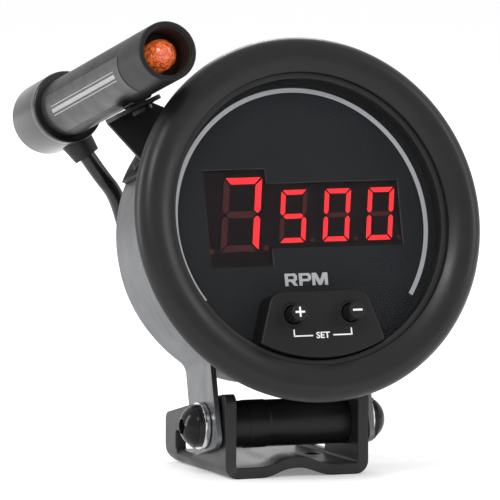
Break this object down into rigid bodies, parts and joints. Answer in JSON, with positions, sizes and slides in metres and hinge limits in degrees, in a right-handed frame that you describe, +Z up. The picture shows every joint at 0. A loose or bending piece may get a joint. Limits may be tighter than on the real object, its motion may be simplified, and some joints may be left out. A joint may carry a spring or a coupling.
{
  "type": "pedestal digital tachometer with shift light",
  "caption": "Round digital engine-speed gauge with setting buttons, clamped by a steel strap that tilts on a channel base, with a tube shift light on a side bracket.",
  "frame": {"origin": "middle between the base's two mounting holes, on its underside", "axes": "+Z up, +X to the right of a person reading the dial, +Y to the rear, away from that person"},
  "size_m": [0.1022, 0.1053, 0.1237],
  "materials": {
    "black_paint": "satin",
    "shell_paint": "satin",
    "steel": "satin",
    "chrome": "polished",
    "black_steel": "black oxide, satin",
    "rubber": "matt",
    "nylon": "matt",
    "board": "matt",
    "dial": "matt",
    "display": "gloss",
    "filter": "gloss",
    "lens": "clear",
    "black_plastic": "matt",
    "tube": "satin",
    "cap": "gloss",
    "label": "satin",
    "amber": "gloss"
  },
  "bodies": {
    "base": {"base_bracket": "black_paint", "pivot_spacer": "black_paint", "pivot_screws": "black_steel", "glide_washers": "nylon", "flat_washers": "chrome", "lock_washers": "black_steel"},
    "head": {"strap": "steel", "strap_liner": "rubber", "cup": "shell_paint", "bezel": "shell_paint", "lens": "lens", "lens_gasket": "rubber", "inner_wall": "black_plastic", "dial_face": "dial", "window_filter": "filter", "big_digit": "display", "small_digits": "display", "display_board": "board", "board_standoffs": "nylon", "board_screws": "steel", "main_board": "board", "main_board_chips": "black_plastic", "rear_standoffs": "nylon", "rear_screws": "steel", "button_pod": "black_plastic", "switches": "black_plastic", "harness_gland": "rubber", "cable_grommet": "rubber", "light_bracket": "black_paint", "bracket_rivets": "black_steel", "light_tube": "tube", "light_led": "amber", "led_holder": "black_plastic", "driver_board": "board", "light_collar": "black_plastic", "light_cap": "cap", "light_label": "label", "cable_boot": "rubber", "light_cable": "rubber", "light_saddle": "nylon", "aim_screw": "black_steel"},
    "plus_button": {"plus_button": "black_plastic", "plus_plunger": "nylon"},
    "minus_button": {"minus_button": "black_plastic", "minus_plunger": "nylon"}
  },
  "joints": [
    {"name": "head_tilt", "type": "hinge", "parent": "base", "child": "head", "pos_m": [0, -0.0116, 0.0135], "axis": [-1, 0, 0], "range_deg": [-20, 20]},
    {"name": "plus_press", "type": "slide", "parent": "head", "child": "plus_button", "axis": [0, 0.9677, -0.2521], "range_m": [0, 0.0008], "stiffness_N_per_m": 900, "springref_m": -0.0006},
    {"name": "minus_press", "type": "slide", "parent": "head", "child": "minus_button", "axis": [0, 0.9677, -0.2521], "range_m": [0, 0.0008], "stiffness_N_per_m": 900, "springref_m": -0.0006}
  ]
}
